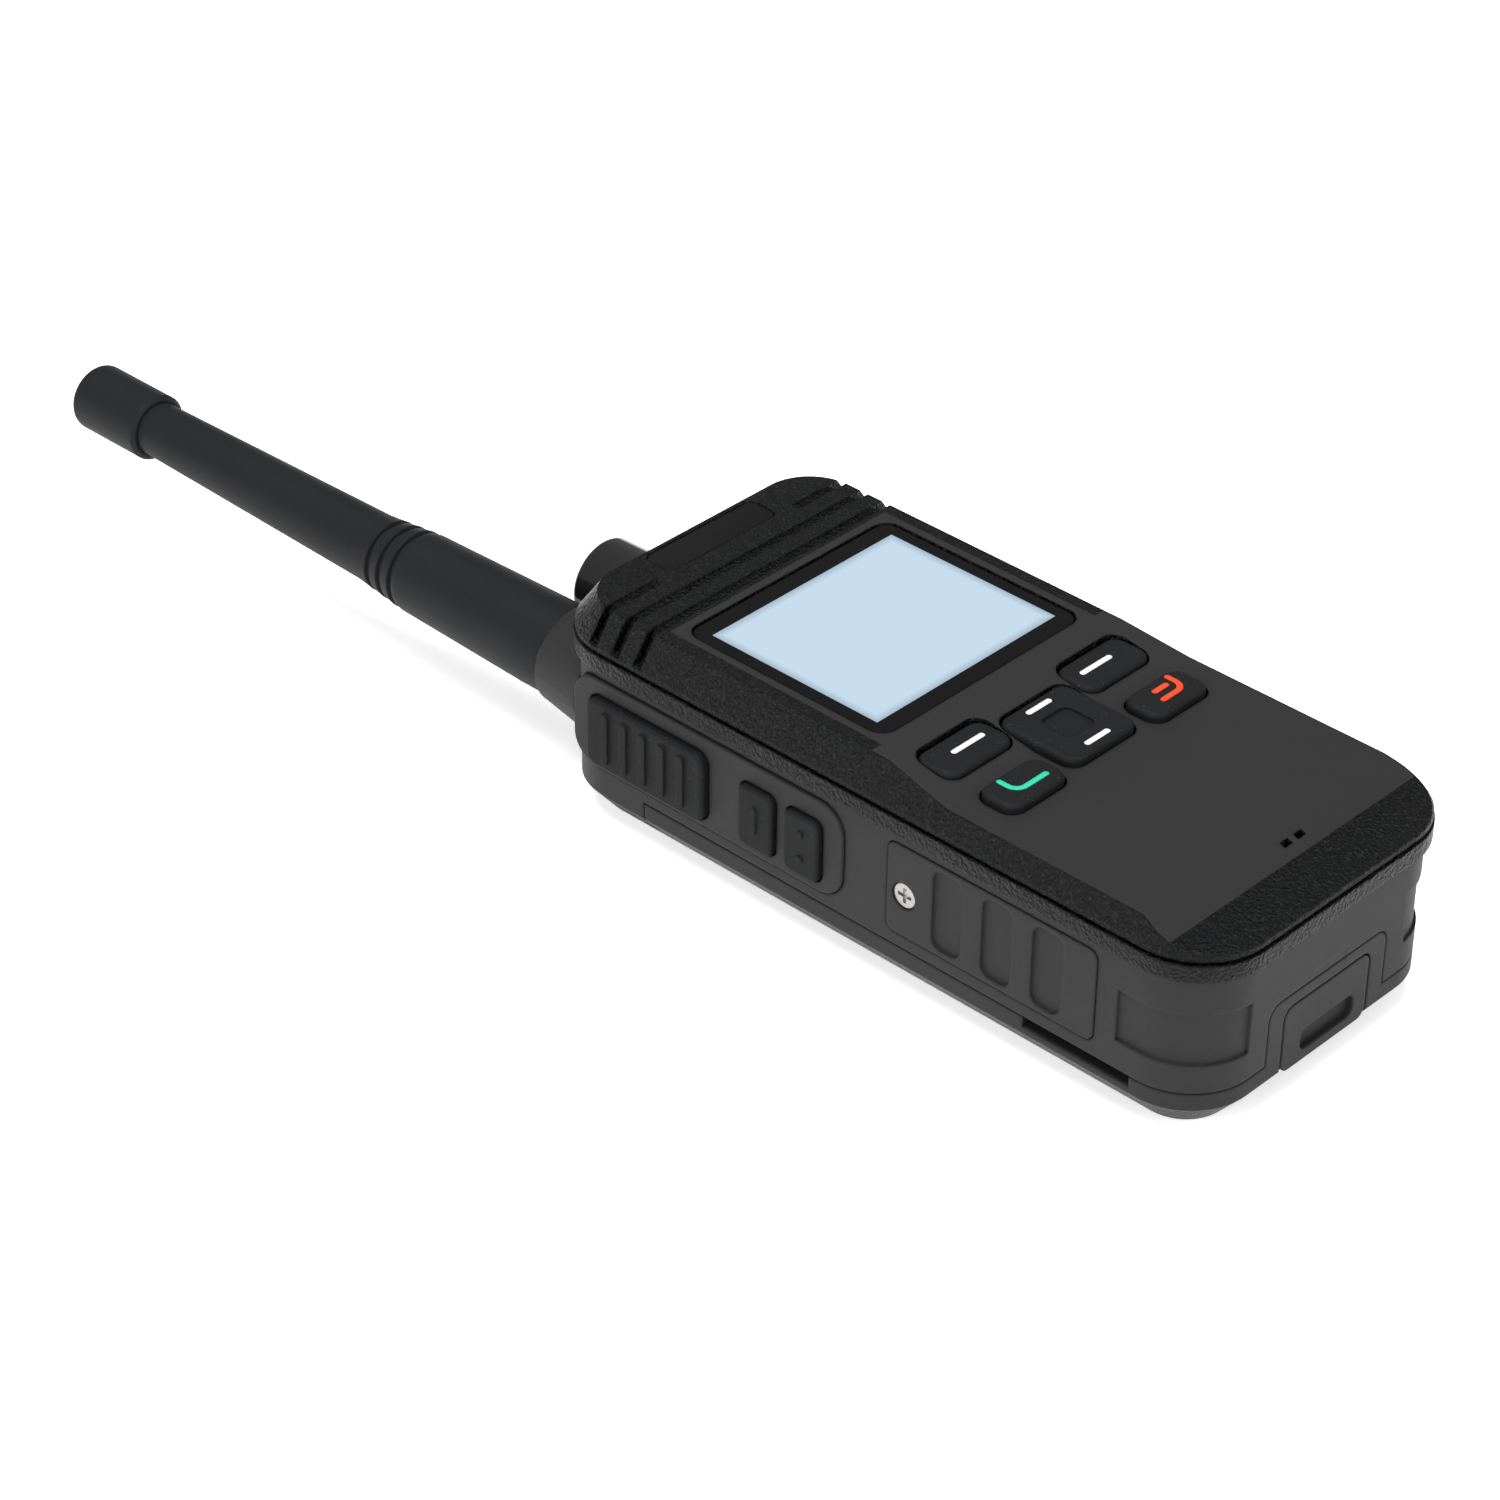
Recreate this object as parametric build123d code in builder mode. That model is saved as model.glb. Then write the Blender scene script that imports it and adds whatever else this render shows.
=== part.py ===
from build123d import *
import os

# Handheld two-way radio lying on its back: +Z leaves the front face, +Y points to
# the antenna, +X is the wearer's right. The origin is the centre of the flat back.

# ---- driving dimensions (mm) ----
body_width = 49.4
body_length = 110.4
body_thickness = 32.0
corner_radius = 9.6
wall = 1.8
fit = 0.15                      # clearance between static pieces of one body
run = 0.3                       # clearance round moving pieces

battery_height = 6.6            # back face to the seam
battery_length = 93.0
seam_gap = 0.2
back_bevel = 4.2
housing_top = 26.6              # upper edge of the rear housing
band_height = 2.4               # proud band under the parting groove
band_proud = 0.9
groove_gap = 0.5
shell_band = 0.7                # upright rim of the front shell above the groove
bevel_angle = 35.0
keypad_drop = 1.6               # keypad plane under the display plane
ramp_start = -2.5
ramp_run = 10.5
chin_start = -44.2
chin_run = 4.4
chin_drop = 1.5
roof = 1.8

lens_width = 38.6
lens_length = 34.4
lens_thickness = 1.2
lens_sink = 0.2
lens_radius = 2.4
lens_y = 18.6
view_width = 34.6
view_length = 28.6
cavity_radius = 1.0

badge_width = 20.4
badge_length = 5.0
badge_thickness = 0.8
badge_y = 49.7
louvre_width = 1.5
louvre_depth = 1.2
louvre_pitch = 4.0
louvre_first = 45.9

key_height = 1.1                # keys above the keypad plane
key_travel = 0.7
key_flange = 0.8
key_flange_lip = 0.6
key_flange_side = 0.3
key_radius = 2.0
soft_key_size = (12.4, 6.6)
soft_key_place = (13.4, -6.9)
call_key_size = (11.0, 6.2)
call_key_place = (13.9, -17.0)
nav_key_size = (13.0, 13.0)
nav_y = -12.4
nav_dish_width = 5.4
nav_dish_radius = 1.2
nav_dish_depth = 0.5
keypad_sheet_y = -12.6
keypad_sheet_size = (41.0, 20.0)
keypad_sheet_radius = 2.0
pad_thickness = 0.6

side_frame_y = (2.6, 50.6)
side_frame_z = (8.6, 22.6)
side_frame_depth = 1.3
ptt_length = 21.2
ptt_height = 10.4
ptt_y = 36.7
ptt_z = 14.9
ptt_proud = 1.5
ptt_travel = 0.8
rib_count = 5
rib_width = 1.3
side_key_length = 5.9
side_key_height = 9.2
side_key_y = (17.1, 9.1)
side_key_z = 14.7
side_key_proud = 1.2

cover_y = (-38.6, -4.8)
cover_z = (8.8, 22.4)
cover_thickness = 1.2
cover_screw_y = -7.6
cover_screw_z = 14.9
cover_screw_head = 3.8
cover_screw_thread = 2.0
capsule_count = 3
capsule_pitch = 8.1
capsule_first = -14.7
capsule_width = 4.8
capsule_depth = 0.35

wrap_z = (11.0, 18.6)            # recess that wraps round each lower corner
wrap_width = 9.2
wrap_length = 13.2
wrap_depth = 0.4

antenna_x = -14.0
antenna_z = 14.0
collar_radius = 8.2
collar_length = 7.0
stud_radius = 2.0
stud_length = 7.0
sleeve_base_radius = 6.5
sleeve_shoulder_y = 91.0
sleeve_ring_radius = 5.9
sleeve_waist_y = 101.0
sleeve_waist_radius = 4.95
sleeve_tip_radius = 4.0
cap_start = 147.5
cap_radius = 5.0
cap_end = 161.6

volume_x = 1.5
volume_z = 15.0
volume_radius = 6.6
volume_length = 16.0
channel_x = 16.0
channel_z = 15.6
channel_radius = 6.8
channel_length = 8.0
knob_gap = 0.5
shaft_radius = 3.0
flat_depth = 1.0
bush_wall = 1.5
pot_size = 9.0
pot_depth = 6.0

board_thickness = 1.6
board_length = 92.0
display_base = 1.6
speaker_radius = 10.0
speaker_height = 4.4
speaker_y = -33.8
mic_radius = 1.4
mic_height = 1.6
mic_x = 2.0
mic_y = -46.6
screw_radius = 1.1
screw_head_radius = 2.0
screw_head_height = 1.4
post_radius = 2.5
screw_grip = 1.4                # how far a screw reaches into the front shell
screw_places = ((-13.5, 40.8), (13.5, 40.8), (-16.0, -46.0), (16.0, -46.0))

tongue_half_width = 11.6
tongue_top = 15.4
tongue_depth = 2.6
latch_width = 16.8
latch_top = 13.4
latch_bottom = 3.6
latch_thickness = 1.5
latch_travel = 2.0
cell_height = 4.2
cell_width = 35.0
cell_length = 73.0
cell_y = -10.0
bolt_width = 6.0
bolt_thickness = 1.0
bolt_rise = 3.0
leaf_size = (7.6, 3.6, 0.35)

# ---- derived places ----
half_width = body_width / 2
bottom_y = -body_length / 2
top_y = body_length / 2
front_z = body_thickness
keypad_z = front_z - keypad_drop
housing_floor = battery_height + seam_gap
latch_gap = tongue_top - latch_top
bolt_back = 0.5                 # how far the bolt stands behind the latch face
shell_bottom = housing_top + groove_gap
shell_bevel_start = shell_bottom + shell_band
bevel_rise = front_z - shell_bevel_start
shell_half = half_width + band_proud - 0.2
lens_top = front_z - lens_sink
lens_bottom = lens_top - lens_thickness
ceiling_z = keypad_z - roof
display_top = lens_bottom - fit
display_base_top = ceiling_z - fit
cell_pocket_y = bottom_y + battery_length

os.makedirs("parts", exist_ok=True)


def save(builder, label):
    builder.part.label = label
    export_step(builder.part, "parts/" + label + ".step")


def outline(grow, mode=Mode.ADD):
    # plan outline of the body, grown or shrunk by a constant offset
    RectangleRounded(body_width + 2 * grow, body_length + 2 * grow, corner_radius + grow, mode=mode)


def side_plane(depth):
    # plane on the left side wall, x along +Y and y along +Z, facing outwards (-X)
    return Plane(origin=(-half_width + depth, 0, 0), x_dir=(0, -1, 0), z_dir=(-1, 0, 0))


def end_plane(y):
    # plane across the body facing +Y, x along -X, y along +Z
    return Plane(origin=(0, y, 0), x_dir=(-1, 0, 0), z_dir=(0, 1, 0))


# ---- front shell ----
with BuildPart() as louvre_cutter:
    with BuildSketch(Plane.XY.offset(shell_bevel_start)):
        for row in range(1, 3):
            with Locations((0, louvre_first - row * louvre_pitch + louvre_width / 2)):
                Rectangle(2 * shell_half + 4, louvre_width)
    extrude(amount=bevel_rise + 2)
    with BuildSketch(Plane.XY.offset(shell_bevel_start)):
        with Locations((0, louvre_first + louvre_width / 2)):
            Rectangle(2 * shell_half + 4, louvre_width)
        with Locations((0, louvre_first + louvre_width / 2)):
            Rectangle(badge_width + 6, louvre_width, mode=Mode.SUBTRACT)
    extrude(amount=bevel_rise + 2)
    with BuildSketch(Plane.XY.offset(shell_bevel_start - 1)):
        outline(shell_half - half_width - louvre_depth)
    extrude(amount=bevel_rise + 1 - louvre_depth * 0.3, taper=bevel_angle, mode=Mode.SUBTRACT)

key_sites = [
    ("soft_key_left", (-soft_key_place[0], soft_key_place[1]), soft_key_size),
    ("soft_key_right", soft_key_place, soft_key_size),
    ("nav_key", (0, nav_y), nav_key_size),
    ("call_key", (-call_key_place[0], call_key_place[1]), call_key_size),
    ("end_key", call_key_place, call_key_size),
]

with BuildPart() as front_shell:
    with BuildSketch(Plane.XY.offset(shell_bottom)):
        outline(shell_half - half_width)
    extrude(amount=shell_band)
    with BuildSketch(Plane.XY.offset(shell_bevel_start)):
        outline(shell_half - half_width)
    extrude(amount=bevel_rise, taper=bevel_angle)
    # display plane, ramp, keypad plane, chin slope and end bevel in one side profile
    with BuildSketch(Plane.YZ.offset(-shell_half - 1)):
        with BuildLine():
            Polyline(
                (ramp_start, front_z + 1),
                (ramp_start, front_z),
                (ramp_start - ramp_run, keypad_z),
                (chin_start, keypad_z),
                (chin_start - chin_run, keypad_z - chin_drop),
                (bottom_y - band_proud, shell_bevel_start + 0.1),
                (bottom_y - 2 * band_proud, front_z + 1),
                close=True,
            )
        make_face()
    extrude(amount=2 * shell_half + 2, mode=Mode.SUBTRACT)
    add(louvre_cutter.part, mode=Mode.SUBTRACT)
    # inner cavity, open towards the rear housing
    with BuildSketch(Plane.XY.offset(shell_bottom)):
        RectangleRounded(body_width - 4 * wall, body_length - 8 * wall, corner_radius - 2 * wall)
    extrude(amount=ceiling_z - shell_bottom, mode=Mode.SUBTRACT)
    # screw posts under the roof
    with BuildSketch(Plane.XY.offset(shell_bottom)):
        with Locations(*screw_places):
            Circle(post_radius)
    extrude(amount=ceiling_z - shell_bottom)
    with BuildSketch(Plane.XY.offset(shell_bottom)):
        with Locations(*screw_places):
            Circle(screw_radius + 0.02)
    extrude(amount=screw_grip + fit, mode=Mode.SUBTRACT)
    # lens seat and display opening
    with BuildSketch(Plane.XY.offset(lens_bottom)):
        with Locations((0, lens_y)):
            RectangleRounded(lens_width + 2 * fit, lens_length + 2 * fit, lens_radius + fit)
    extrude(amount=front_z - lens_bottom + 1, mode=Mode.SUBTRACT)
    with BuildSketch(Plane.XY.offset(shell_bottom)):
        with Locations((0, lens_y)):
            Rectangle(view_width + 2 * fit, view_length + 2 * fit)
    extrude(amount=front_z - shell_bottom, mode=Mode.SUBTRACT)
    # badge recess
    with BuildSketch(Plane.XY.offset(front_z - badge_thickness)):
        with Locations((0, badge_y)):
            RectangleRounded(badge_width + 2 * fit, badge_length + 2 * fit, 1.4)
    extrude(amount=badge_thickness + 1, mode=Mode.SUBTRACT)
    # key openings
    for key_name, key_centre, key_size in key_sites:
        with BuildSketch(Plane.XY.offset(shell_bottom)):
            with Locations(key_centre):
                RectangleRounded(key_size[0] + 2 * run, key_size[1] + 2 * run, key_radius + run)
        extrude(amount=front_z, mode=Mode.SUBTRACT)
    # microphone slots through the chin
    with BuildSketch(Plane.XY.offset(shell_bottom)):
        with Locations((mic_x - 1.3, mic_y), (mic_x + 1.3, mic_y)):
            Rectangle(1.6, 0.9)
    extrude(amount=front_z, mode=Mode.SUBTRACT)
save(front_shell, "front_shell")

with BuildPart() as screen_lens:
    with BuildSketch(Plane.XY.offset(lens_bottom)):
        with Locations((0, lens_y)):
            RectangleRounded(lens_width, lens_length, lens_radius)
    extrude(amount=lens_thickness)
    chamfer(screen_lens.faces().sort_by(Axis.Z)[-1].edges(), 0.25)
save(screen_lens, "screen_lens")

with BuildPart() as display_module:
    with BuildSketch(Plane.XY.offset(display_base_top - display_base)):
        with Locations((0, lens_y)):
            Rectangle(view_width + 3.2, view_length + 3.6)
    extrude(amount=display_base)
    with BuildSketch(Plane.XY.offset(display_base_top)):
        with Locations((0, lens_y)):
            Rectangle(view_width - 2 * fit, view_length - 2 * fit)
    extrude(amount=display_top - display_base_top)
save(display_module, "display_module")

with BuildPart() as badge_plate:
    with BuildSketch(Plane.XY.offset(front_z - badge_thickness)):
        with Locations((0, badge_y)):
            RectangleRounded(badge_width, badge_length, 1.4 - fit)
    extrude(amount=badge_thickness - 0.1)
save(badge_plate, "badge_plate")

# ---- front keys: cap through the shell, flange under it ----
key_top = keypad_z + key_height
flange_top = ceiling_z - fit
for key_name, key_centre, key_size in key_sites:
    with BuildPart() as front_key:
        with BuildSketch(Plane.XY.offset(flange_top - key_flange)):
            with Locations(key_centre):
                RectangleRounded(key_size[0] + 2 * key_flange_side, key_size[1] + 2 * key_flange_lip, key_radius)
        extrude(amount=key_flange)
        with BuildSketch(Plane.XY.offset(flange_top)):
            with Locations(key_centre):
                RectangleRounded(key_size[0], key_size[1], key_radius)
        extrude(amount=key_top - flange_top)
        fillet(front_key.faces().sort_by(Axis.Z)[-1].edges(), 0.7)
        if key_name == "nav_key":
            with BuildSketch(Plane.XY.offset(key_top - nav_dish_depth)):
                with Locations(key_centre):
                    RectangleRounded(nav_dish_width, nav_dish_width, nav_dish_radius)
            extrude(amount=1, mode=Mode.SUBTRACT)
    save(front_key, key_name)

# silicone sheet with carbon pills under the keys, resting on its own switch board
pad_top = flange_top - key_flange - key_travel - run
with BuildPart() as keypad_mat:
    with BuildSketch(Plane.XY.offset(pad_top - pad_thickness)):
        with Locations((0, keypad_sheet_y)):
            RectangleRounded(*keypad_sheet_size, keypad_sheet_radius)
    extrude(amount=pad_thickness)
save(keypad_mat, "keypad_mat")

with BuildPart() as keypad_board:
    with BuildSketch(Plane.XY.offset(pad_top - pad_thickness - board_thickness / 2)):
        with Locations((0, keypad_sheet_y)):
            RectangleRounded(*keypad_sheet_size, keypad_sheet_radius)
    extrude(amount=board_thickness / 2)
save(keypad_board, "keypad_board")

# ---- rear housing ----
floor_top = housing_floor + wall
screw_seat_z = housing_floor + screw_head_height + 0.1
inner_half_x = half_width - 2 * wall
with BuildPart() as rear_housing:
    with BuildSketch(Plane.XY.offset(housing_floor)):
        outline(0)
    extrude(amount=housing_top - housing_floor)
    with BuildSketch(Plane.XY.offset(housing_top - band_height)):
        outline(band_proud)
    extrude(amount=band_height)
    # upper back block behind the top of the battery
    with BuildSketch(Plane.XY.offset(back_bevel)):
        outline(0)
    extrude(amount=housing_floor - back_bevel)
    with BuildSketch(Plane.XY.offset(back_bevel)):
        outline(0)
    extrude(amount=-back_bevel, taper=40)
    with BuildSketch(Plane.XY):
        with Locations((0, bottom_y + (battery_length + seam_gap) / 2 - 10)):
            Rectangle(body_width + 4, battery_length + seam_gap + 20)
    extrude(amount=housing_floor, mode=Mode.SUBTRACT)
    # antenna collar on the top face
    with BuildSketch(end_plane(top_y - wall)):
        with Locations((-antenna_x, antenna_z)):
            Circle(collar_radius)
    extrude(amount=collar_length + wall, taper=8)
    # hollow for the electronics
    with BuildSketch(Plane.XY.offset(floor_top)):
        RectangleRounded(2 * inner_half_x, body_length - 4 * wall, cavity_radius)
    extrude(amount=housing_top - floor_top, mode=Mode.SUBTRACT)
    # pocket for the side key frame
    frame_mid_y = (side_frame_y[0] + side_frame_y[1]) / 2
    frame_mid_z = (side_frame_z[0] + side_frame_z[1]) / 2
    with BuildSketch(side_plane(side_frame_depth)):
        with Locations((-frame_mid_y, frame_mid_z)):
            RectangleRounded(side_frame_y[1] - side_frame_y[0] + 2 * fit,
                             side_frame_z[1] - side_frame_z[0] + 2 * fit, 4.2)
    extrude(amount=side_frame_depth + 1, mode=Mode.SUBTRACT)
    # openings behind the talk button and the two side keys
    with BuildSketch(side_plane(2 * wall + 1)):
        with Locations((-ptt_y, ptt_z)):
            RectangleRounded(ptt_length - 4, ptt_height - 4, 1)
        with Locations(*[(-key_y, side_key_z) for key_y in side_key_y]):
            RectangleRounded(side_key_length - 2.6, side_key_height - 2.6, 1)
    extrude(amount=2 * wall + 2, mode=Mode.SUBTRACT)
    # pocket for the accessory cover and its screw hole
    cover_mid_y = (cover_y[0] + cover_y[1]) / 2
    cover_mid_z = (cover_z[0] + cover_z[1]) / 2
    with BuildSketch(side_plane(cover_thickness)):
        with Locations((-cover_mid_y, cover_mid_z)):
            RectangleRounded(cover_y[1] - cover_y[0] + 2 * fit,
                             cover_z[1] - cover_z[0] + 2 * fit, 1.5)
    extrude(amount=cover_thickness + 1, mode=Mode.SUBTRACT)
    with BuildSketch(side_plane(2 * wall + 1)):
        with Locations((-cover_screw_y, cover_screw_z)):
            Circle(cover_screw_thread / 2)
    extrude(amount=2 * wall + 2, mode=Mode.SUBTRACT)
    # screw posts with counterbores from the back
    with BuildSketch(Plane.XY.offset(floor_top)):
        with Locations(*screw_places):
            Circle(post_radius)
    extrude(amount=housing_top - floor_top)
    with BuildSketch(Plane.XY):
        with Locations(*screw_places):
            Circle(screw_radius + fit)
    extrude(amount=body_thickness, mode=Mode.SUBTRACT)
    with BuildSketch(Plane.XY):
        with Locations(*screw_places):
            Circle(screw_head_radius + fit)
    extrude(amount=screw_seat_z, mode=Mode.SUBTRACT)
    # shallow wrap-round recess on each lower corner
    with BuildSketch(Plane.XY.offset(wrap_z[0])):
        with Locations((half_width - wrap_width / 2 + 1, bottom_y + wrap_length / 2 - 1),
                       (-half_width + wrap_width / 2 - 1, bottom_y + wrap_length / 2 - 1)):
            Rectangle(wrap_width + 2, wrap_length + 2)
        outline(-wrap_depth, mode=Mode.SUBTRACT)
    extrude(amount=wrap_z[1] - wrap_z[0], mode=Mode.SUBTRACT)
    # through holes for the knob bushes and the antenna connector
    with BuildSketch(end_plane(top_y - 2 * wall - 1)):
        with Locations((-volume_x, volume_z), (-channel_x, channel_z)):
            Circle(shaft_radius + bush_wall + fit)
        with Locations((-antenna_x, antenna_z)):
            Circle(stud_radius + fit)
    extrude(amount=2 * wall + 2, mode=Mode.SUBTRACT)
    with BuildSketch(end_plane(top_y)):
        with Locations((-antenna_x, antenna_z)):
            Circle(sleeve_base_radius + fit)
    extrude(amount=collar_length + 1, mode=Mode.SUBTRACT)
    # relief in the lower end for the battery tongue
    with BuildSketch(Plane.XZ.offset(-bottom_y - tongue_depth - fit)):
        with Locations((0, (housing_floor + tongue_top) / 2)):
            RectangleRounded(2 * (tongue_half_width + seam_gap),
                             tongue_top - housing_floor + 2 * seam_gap, 2.2)
        with Locations((0, housing_floor)):
            Rectangle(2 * (tongue_half_width + seam_gap), 4.4)
    extrude(amount=tongue_depth + 2, mode=Mode.SUBTRACT)
    # notch that takes the latch bolt
    with BuildSketch(Plane.XZ.offset(-bottom_y - bolt_back - bolt_thickness - run)):
        with Locations((0, tongue_top)):
            Rectangle(bolt_width + 2 * run, 2 * (bolt_rise - latch_gap) + 2 * run)
    extrude(amount=bolt_thickness + 2 * run, mode=Mode.SUBTRACT)
save(rear_housing, "rear_housing")

# gasket in the parting groove
with BuildPart() as housing_seal:
    with BuildSketch(Plane.XY.offset(housing_top)):
        outline(-0.5)
        RectangleRounded(body_width - 4 * wall, body_length - 8 * wall, corner_radius - 2 * wall,
                         mode=Mode.SUBTRACT)
        with Locations(*screw_places):
            Circle(post_radius, mode=Mode.SUBTRACT)
    extrude(amount=groove_gap)
save(housing_seal, "housing_seal")

# ---- talk button, its frame and the two side keys ----
with BuildPart() as ptt_bezel:
    with BuildSketch(side_plane(side_frame_depth)):
        with Locations((-frame_mid_y, frame_mid_z)):
            RectangleRounded(side_frame_y[1] - side_frame_y[0], side_frame_z[1] - side_frame_z[0], 4.05)
    extrude(amount=side_frame_depth + 0.35)
    fillet(ptt_bezel.faces().sort_by(Axis.X)[0].edges(), 0.3)
    with BuildSketch(side_plane(side_frame_depth)):
        with Locations((-ptt_y, ptt_z)):
            RectangleRounded(ptt_length + 2 * run, ptt_height + 2 * run, 2.0)
        with Locations(*[(-key_y, side_key_z) for key_y in side_key_y]):
            RectangleRounded(side_key_length + 2 * run, side_key_height + 2 * run, 1.4)
    extrude(amount=side_frame_depth + 2, mode=Mode.SUBTRACT)
save(ptt_bezel, "ptt_bezel")

with BuildPart() as ptt_button:
    with BuildSketch(side_plane(side_frame_depth - run - ptt_travel)):
        with Locations((-ptt_y, ptt_z)):
            RectangleRounded(ptt_length, ptt_height, 1.7)
    extrude(amount=side_frame_depth - run - ptt_travel + ptt_proud)
    fillet(ptt_button.faces().sort_by(Axis.X)[0].edges(), 0.6)
    with BuildSketch(side_plane(-ptt_proud)):
        with Locations((-ptt_y, ptt_z)):
            with GridLocations((ptt_length - 4) / rib_count, 0, rib_count, 1):
                RectangleRounded(rib_width, ptt_height - 2.4, rib_width / 2 - 0.01)
    extrude(amount=0.4)
    # plunger through the housing wall
    with BuildSketch(side_plane(2 * wall)):
        with Locations((-ptt_y, ptt_z)):
            Rectangle(ptt_length - 4 - 2 * run, ptt_height - 4 - 2 * run)
    extrude(amount=2 * wall - side_frame_depth + run + ptt_travel)
save(ptt_button, "ptt_button")

for key_number, key_y in enumerate(side_key_y):
    with BuildPart() as side_key:
        with BuildSketch(side_plane(side_frame_depth - run - key_travel)):
            with Locations((-key_y, side_key_z)):
                RectangleRounded(side_key_length, side_key_height, 1.1)
        extrude(amount=side_frame_depth - run - key_travel + side_key_proud)
        fillet(side_key.faces().sort_by(Axis.X)[0].edges(), 0.5)
        with BuildSketch(side_plane(-side_key_proud)):
            if key_number == 0:
                with Locations((-key_y, side_key_z)):
                    RectangleRounded(0.9, 4.2, 0.4)
            else:
                with Locations((-key_y, side_key_z + 1.9), (-key_y, side_key_z - 1.9)):
                    Circle(0.55)
        extrude(amount=0.25)
        with BuildSketch(side_plane(2 * wall)):
            with Locations((-key_y, side_key_z)):
                Rectangle(side_key_length - 2.6 - 2 * run, side_key_height - 2.6 - 2 * run)
        extrude(amount=2 * wall - side_frame_depth + run + key_travel)
    save(side_key, ("side_key_upper", "side_key_lower")[key_number])

with BuildPart() as side_switch_board:
    with BuildSketch(side_plane(2 * wall + ptt_travel + run + board_thickness)):
        with Locations((-frame_mid_y, side_key_z)):
            Rectangle(side_frame_y[1] - side_frame_y[0] - 6, ptt_height)
    extrude(amount=board_thickness)
save(side_switch_board, "side_switch_board")

# ---- accessory cover with its captive screw ----
with BuildPart() as accessory_cover:
    with BuildSketch(side_plane(cover_thickness)):
        with Locations((-cover_mid_y, cover_mid_z)):
            RectangleRounded(cover_y[1] - cover_y[0], cover_z[1] - cover_z[0], 1.35)
    extrude(amount=cover_thickness + 0.1)
    with BuildSketch(side_plane(0.6)):
        with Locations((-cover_screw_y, cover_screw_z)):
            Circle(cover_screw_head / 2)
    extrude(amount=1, mode=Mode.SUBTRACT)
    with BuildSketch(side_plane(cover_thickness)):
        with Locations((-cover_screw_y, cover_screw_z)):
            Circle(cover_screw_thread / 2)
    extrude(amount=2, mode=Mode.SUBTRACT)
    with BuildSketch(side_plane(capsule_depth)):
        for number in range(capsule_count):
            with Locations((-(capsule_first - number * capsule_pitch), cover_mid_z)):
                RectangleRounded(capsule_width, cover_z[1] - cover_z[0] - 1.6, 1.6)
    extrude(amount=1, mode=Mode.SUBTRACT)
save(accessory_cover, "accessory_cover")

with BuildPart() as accessory_screw:
    with BuildSketch(side_plane(0.6)):
        with Locations((-cover_screw_y, cover_screw_z)):
            Circle(cover_screw_head / 2 - fit)
    extrude(amount=0.5)
    with BuildSketch(side_plane(0.6)):
        with Locations((-cover_screw_y, cover_screw_z)):
            Circle(cover_screw_thread / 2 - fit)
    extrude(amount=-2 * wall + 0.4)
    with BuildSketch(side_plane(0.4)):
        with Locations((-cover_screw_y, cover_screw_z)):
            Rectangle(2.2, 0.5)
            Rectangle(0.5, 2.2)
    extrude(amount=1, mode=Mode.SUBTRACT)
save(accessory_screw, "accessory_screw")

# ---- antenna: threaded stud, moulded sleeve and tip cap ----
inner_top_y = top_y - 2 * wall
with BuildPart() as antenna_connector:
    with BuildSketch(end_plane(inner_top_y - 2.5)):
        with Locations((-antenna_x, antenna_z)):
            Rectangle(9, 8)
    extrude(amount=2.5 - fit)
    with BuildSketch(end_plane(inner_top_y - fit)):
        with Locations((-antenna_x, antenna_z)):
            Circle(stud_radius)
    extrude(amount=2 * wall + fit + stud_length)
save(antenna_connector, "antenna_connector")

sleeve_start = top_y + 0.3
with BuildPart() as antenna_sleeve:
    with BuildSketch(Plane(origin=(antenna_x, 0, antenna_z), x_dir=(1, 0, 0), z_dir=(0, 0, 1))):
        with BuildLine():
            Polyline(
                (0, sleeve_start + stud_length + 1),
                (stud_radius + run, sleeve_start + stud_length + 1),
                (stud_radius + run, sleeve_start),
                (sleeve_base_radius, sleeve_start),
                (sleeve_base_radius, top_y + collar_length + 5),
                (sleeve_ring_radius, sleeve_shoulder_y),
            )
            ring_pitch = (sleeve_waist_y - sleeve_shoulder_y) / 4
            ring_slope = (sleeve_ring_radius - sleeve_waist_radius) / 4
            for ring in range(3):
                ring_y = sleeve_shoulder_y + (ring + 0.5) * ring_pitch
                ring_r = sleeve_ring_radius - (ring + 0.5) * ring_slope
                Polyline(
                    (ring_r + (0.5 * ring_slope), ring_y - 0.5 * ring_pitch),
                    (ring_r, ring_y - 0.5),
                    (ring_r - 0.6, ring_y - 0.3),
                    (ring_r - 0.6, ring_y + 0.3),
                    (ring_r, ring_y + 0.5),
                    (ring_r - 0.5 * ring_slope, ring_y + 0.5 * ring_pitch),
                )
            Polyline(
                (sleeve_waist_radius + ring_slope, sleeve_waist_y - ring_pitch),
                (sleeve_waist_radius, sleeve_waist_y),
                (sleeve_tip_radius, cap_start + 1.0),
                (sleeve_tip_radius, cap_end - 3),
                (0, cap_end - 3),
                (0, sleeve_start + stud_length + 1),
            )
        make_face()
    revolve(axis=Axis((antenna_x, 0, antenna_z), (0, 1, 0)))
save(antenna_sleeve, "antenna_sleeve")

with BuildPart() as antenna_cap:
    with BuildSketch(end_plane(cap_start)):
        with Locations((-antenna_x, antenna_z)):
            Circle(cap_radius)
    extrude(amount=cap_end - cap_start)
    fillet(antenna_cap.faces().sort_by(Axis.Y)[-1].edges(), 1.2)
    chamfer(antenna_cap.faces().sort_by(Axis.Y)[0].edges(), 0.5)
    with BuildSketch(end_plane(cap_start - 1)):
        with Locations((-antenna_x, antenna_z)):
            Circle(sleeve_tip_radius + 0.05)
    extrude(amount=cap_end - 3 - cap_start + 1 + 0.05, mode=Mode.SUBTRACT)
save(antenna_cap, "antenna_cap")

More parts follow.
